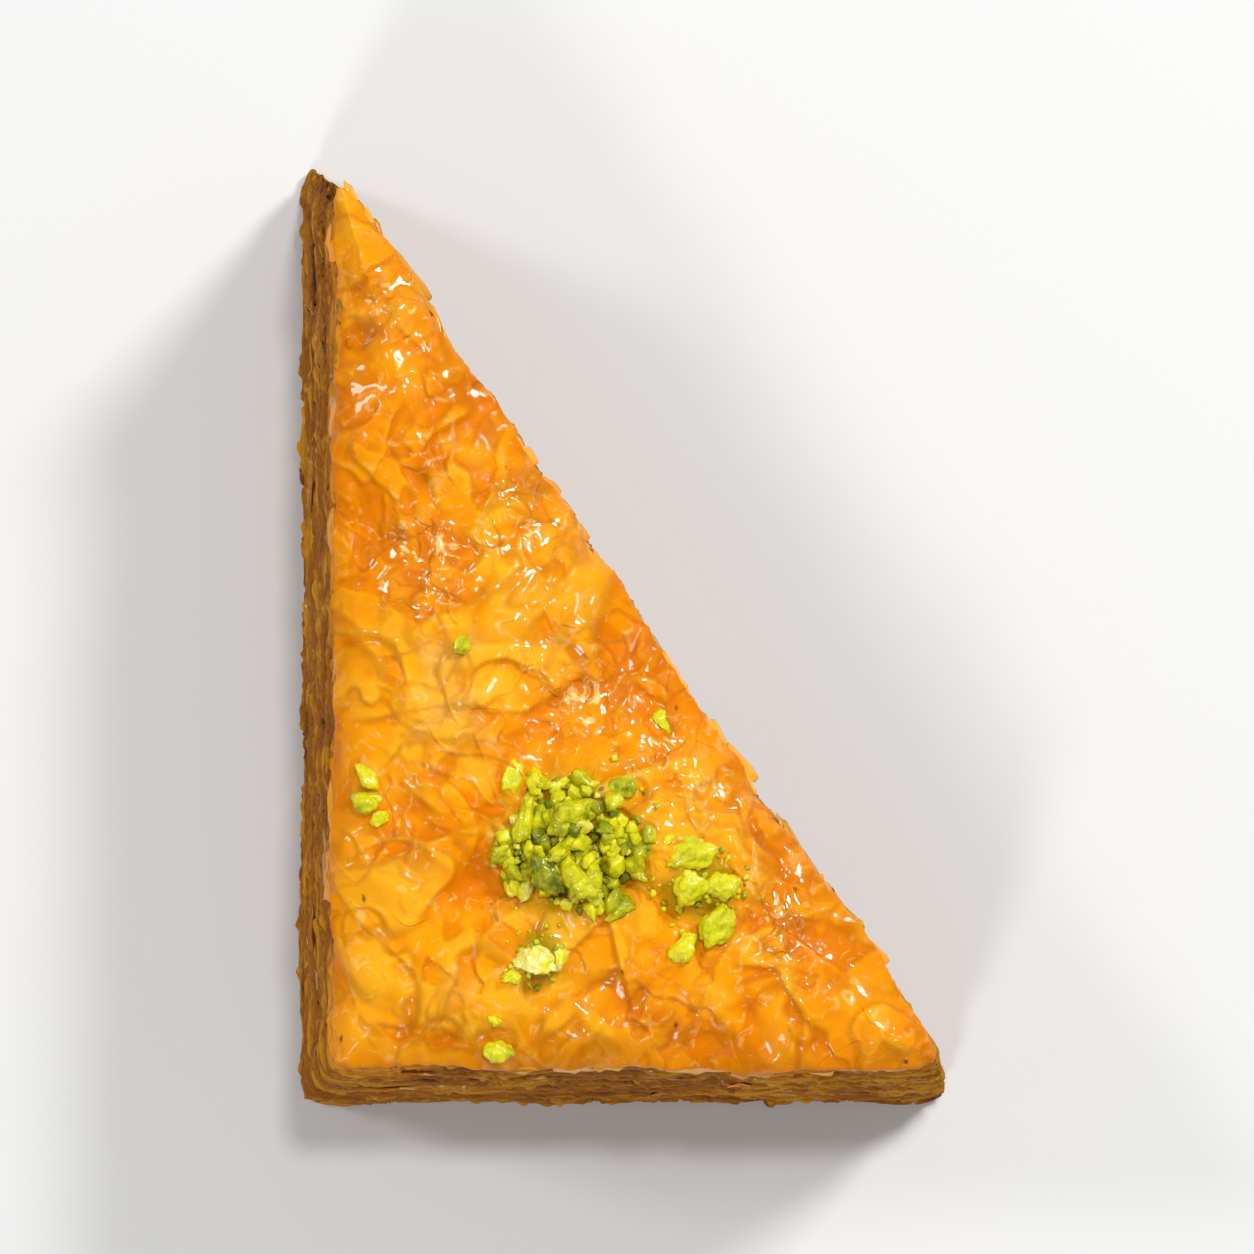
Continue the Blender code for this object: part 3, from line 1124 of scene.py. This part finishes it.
def heapGrains(heightAt):
    draw = random.Random(nutHeap["seed"])
    grains = []
    taken = []
    for share, rise, tries in nutHeap["layers"]:
        for _ in range(tries):
            x, y = spotIn(draw, nutHeap["places"], share, 0.5)
            z = heightAt(x, y) + rise * nutHeap["layerRise"]
            close = nutHeap["closeness"]
            if any((Vector((x, y, z)) - other).length < close for other in taken):
                continue
            taken.append(Vector((x, y, z)))
            scale = draw.uniform(nutHeap["small"], nutHeap["large"]) * 2.0 * mm
            size = (scale * draw.uniform(0.8, 1.25), scale * draw.uniform(0.6, 1.0), scale * 0.75)
            turn = (draw.uniform(-1.2, 1.2), draw.uniform(-1.2, 1.2), draw.uniform(0, 6.3))
            tone = min(max(draw.gauss(0.50, 0.24), 0.02), 0.95)
            grains.append(((x, y, z), turn, size, tone))
    return grains


def dustGrains(heightAt):
    draw = random.Random(nutDust["seed"])
    grains = []
    while len(grains) < nutDust["count"]:
        x, y = spotIn(draw, nutDust["places"], 1.0, 0.7)
        scale = draw.uniform(nutDust["small"], nutDust["large"]) * 2 * mm
        size = (scale * draw.uniform(0.8, 1.6), scale, scale * 0.8)
        turn = (draw.uniform(-0.6, 0.6), draw.uniform(-0.6, 0.6), draw.uniform(0, 6.3))
        tone = min(max(draw.gauss(0.5, 0.2), 0.1), 0.95)
        z = heightAt(x, y) + scale * 0.2
        grains.append(((x, y, z), turn, size, tone))
    return grains


def makeNuts(top, pistachio):
    heightAt = topFinder(top)
    pieces = []
    kinds = (  # name, grains, subdivisions, chopped faces, roughness
        ("pistachioChunks", placedGrains(heightAt), 4, 5, 0.14 * mm),
        ("pistachioHeap", heapGrains(heightAt), 3, 5, 0.09 * mm),
        ("pistachioDust", dustGrains(heightAt), 2, 7, 0.07 * mm),
    )
    for name, grains, subdivisions, cuts, roughness in kinds:
        shapes = [nutShape(number * 17 + subdivisions, subdivisions, cuts) for number in range(8)]
        pieces.append(scattered(name, grains, shapes, roughness, pistachio))
    return pieces


looseFlakes = {
    "rimCount": 44,
    "rimSize": (2.5, 6.5, 1.0, 2.2),  # mm: shortest, longest, narrowest, widest
    "sideCount": 130,
    "sideSize": (2.0, 6.5, 0.5, 1.3),
    "cornerGap": 4.5 * mm,  # kept bare at each corner
    "thick": 0.11 * mm,
    "seed": 4,
}


def flakeShape(seed):
    # a thin torn scrap of leaf, curled along its length, one unit long and wide
    segments, rings = 18, 3
    vertices, faces = [], []
    for side in (0.5, -0.5):
        vertices.append((0, 0, side))
        for ring in range(1, rings + 1):
            for step in range(segments):
                angle = 2 * math.pi * step / segments
                across, along = math.sin(angle), math.cos(angle)
                ragged = noise.noise(Vector((along * 1.6, across * 1.6, seed * 3.1)))
                fine = noise.noise(Vector((along * 4.0, across * 4.0, seed * 1.7)))
                reach = 0.5 * ring / rings * (1 + 0.45 * ragged + 0.25 * fine)
                edge = side * (0.25 if ring == rings else 1.0)
                bend = 5.0 * (reach * along) ** 2 + 3.0 * ragged * reach
                vertices.append((reach * along, reach * across, edge + bend))
    half = 1 + rings * segments

    def at(side, ring, step):
        return side * half + (1 + (ring - 1) * segments + step % segments if ring else 0)

    for step in range(segments):
        for side in (0, 1):
            fan = [at(side, 0, 0), at(side, 1, step), at(side, 1, step + 1)]
            faces.append(fan if side == 0 else fan[::-1])
            for ring in range(1, rings):
                quad = [at(side, ring, step), at(side, ring + 1, step)]
                quad += [at(side, ring + 1, step + 1), at(side, ring, step + 1)]
                faces.append(quad if side == 0 else quad[::-1])
        edge = [at(0, rings, step), at(1, rings, step)]
        edge += [at(1, rings, step + 1), at(0, rings, step + 1)]
        faces.append(edge)
    mesh = bpy.data.meshes.new("flakeShape")
    mesh.from_pydata(vertices, [], faces)
    mesh.shade_smooth()
    return mesh


def flakeAt(place, along, facing, size, tone):
    # a flake whose length runs along and whose broad side faces this way
    facing = facing.normalized()
    along = (along - facing * along.dot(facing)).normalized()
    turn = Matrix((along, facing.cross(along), facing)).transposed().to_euler()
    return tuple(place), tuple(turn), size, tone


def sizeFrom(draw, limits):
    shortest, longest, narrowest, widest = limits
    length = shortest + (longest - shortest) * draw.random() ** 1.6
    return (length * mm, draw.uniform(narrowest, widest) * mm, looseFlakes["thick"])


def nearCorner(place, rise):
    return min((place - corner).length for corner in corners(rise)) < looseFlakes["cornerGap"]


def flakePlaces(top, sides):
    draw = random.Random(looseFlakes["seed"])
    up = Vector((0, 0, 1))
    flakes = []
    rimRing = outline(1.0, 200)
    while len(flakes) < looseFlakes["rimCount"]:
        place, outward = rimRing[draw.randrange(len(rimRing))]
        if nearCorner(place, 1.0):
            continue
        outward = outward.to_3d()
        start = place.to_3d() + up * (topLevel - shape["rimDroop"]) + outward * 3 * mm
        hit = top.find_nearest(start)[0]
        facing = up * draw.uniform(0.3, 1.3) + outward
        along = up.cross(outward) + up * draw.uniform(-0.08, 0.08)
        place = hit - up * draw.uniform(0.2, 0.9) * mm - outward * draw.uniform(0.1, 0.5) * mm
        size = sizeFrom(draw, looseFlakes["rimSize"])
        flakes.append(flakeAt(place, along, facing, size, draw.uniform(0.3, 1.0)))
    for _ in range(looseFlakes["sideCount"]):
        rise = draw.uniform(0.08, 0.93)
        ring = outline(rise, 60)
        place, outward = ring[draw.randrange(len(ring))]
        if nearCorner(place, rise):
            continue
        outward = outward.to_3d()
        start = place.to_3d() + up * rise * topLevel + outward * 6 * mm
        hit = sides.ray_cast(start, -outward)[0]
        if hit is None:
            continue
        facing = outward + up * draw.uniform(-0.35, 0.6)
        along = up.cross(outward) + up * draw.uniform(-0.10, 0.10)
        place = hit - outward * draw.uniform(0.0, 0.25) * mm
        size = sizeFrom(draw, looseFlakes["sideSize"])
        flakes.append(flakeAt(place, along, facing, size, draw.uniform(0.0, 0.75)))
    return flakes


def makeFlakes(top, sides, tornLeaf):
    shapes = [flakeShape(number) for number in range(10)]
    return scattered("looseFlakes", flakePlaces(top, sides), shapes, 0.0, tornLeaf)


stageSet = {
    "floorColour": (0.78, 0.78, 0.775),
    "worldStrength": 0.22,
    "lamps": [  # name, place m, size m, watts
        ("keyLamp", (0.50, 0.46, 0.62), 0.20, 5.0),
        ("leftLamp", (-0.60, 0.20, 0.55), 0.14, 1.4),
        ("frontLamp", (-0.25, -0.62, 0.60), 0.16, 1.9),
        ("sparkleLamp", (0.10, 0.20, 0.90), 0.09, 2.5),
    ],
    "eyeOffset": (-28 * mm, -41 * mm),
    "eyeHeight": 0.80,
    "view": 107 * mm,  # the width that the picture takes in at the top sheet
}


def makeStage():
    material, make = newMaterial("paleFloor")
    place = make.ownPlace()
    tone = make.noise(place, 0.12, 1.0, 2)
    base = stageSet["floorColour"]
    colour = make.mix(tone, base, [c * 0.985 for c in base])
    finishMaterial(make, {"Base Color": colour, "Roughness": 0.7 + tone * 0.1})
    side = 3.0
    corner = [(-side, -side, 0), (side, -side, 0), (side, side, 0), (-side, side, 0)]
    floor = newPiece("floor", corner, [(0, 1, 2, 3)])
    floor.data.materials.append(material)
    world = bpy.data.worlds.new("softRoom")
    world.use_nodes = True
    backdrop = world.node_tree.nodes["Background"]
    backdrop.inputs["Color"].default_value = (1.0, 1.0, 1.0, 1)
    backdrop.inputs["Strength"].default_value = stageSet["worldStrength"]
    bpy.context.scene.world = world
    target = Vector((0, 0, topLevel * 0.6))
    for name, place, size, watts in stageSet["lamps"]:
        lamp = bpy.data.lights.new(name, "AREA")
        lamp.shape = "DISK"
        lamp.size = size
        lamp.energy = watts
        holder = bpy.data.objects.new(name, lamp)
        bpy.context.scene.collection.objects.link(holder)
        holder.location = place
        holder.rotation_euler = (target - Vector(place)).to_track_quat("-Z", "Y").to_euler()


def makeCamera():
    target = Vector(((boxLow[0] + boxHigh[0]) / 2, (boxLow[1] + boxHigh[1]) / 2, topLevel * 0.7))
    eye = target + Vector((*stageSet["eyeOffset"], stageSet["eyeHeight"]))
    lens = bpy.data.cameras.new("camera")
    lens.sensor_width = 36
    lens.lens = 36 * stageSet["eyeHeight"] / stageSet["view"]
    camera = bpy.data.objects.new("camera", lens)
    bpy.context.scene.collection.objects.link(camera)
    back = (eye - target).normalized()
    right = Vector((0, 1, 0)).cross(back).normalized()
    up = back.cross(right)
    turn = Matrix((right, up, back)).transposed()
    camera.matrix_world = Matrix.Translation(eye) @ turn.to_4x4()
    bpy.context.scene.camera = camera


bpy.context.scene.view_settings.view_transform = "Standard"
makeStage()
makeCamera()
print("stage ready")

goldenLeaf = goldenFinish()
cutLeaves = leafFinish()
soakedInside = crumbFinish()
pistachio = nutFinish()
tornLeaf = flakeFinish()
pastryBody = makeBody(goldenLeaf, soakedInside)
leafStacks = makeLeaves(cutLeaves)
topSurface = surfaceOf([pastryBody])
flakes = makeFlakes(topSurface, surfaceOf(leafStacks), tornLeaf)
nuts = makeNuts(topSurface, pistachio)

for piece in (pastryBody, *leafStacks, flakes, *nuts):
    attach(piece, "root")
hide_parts("pastry")
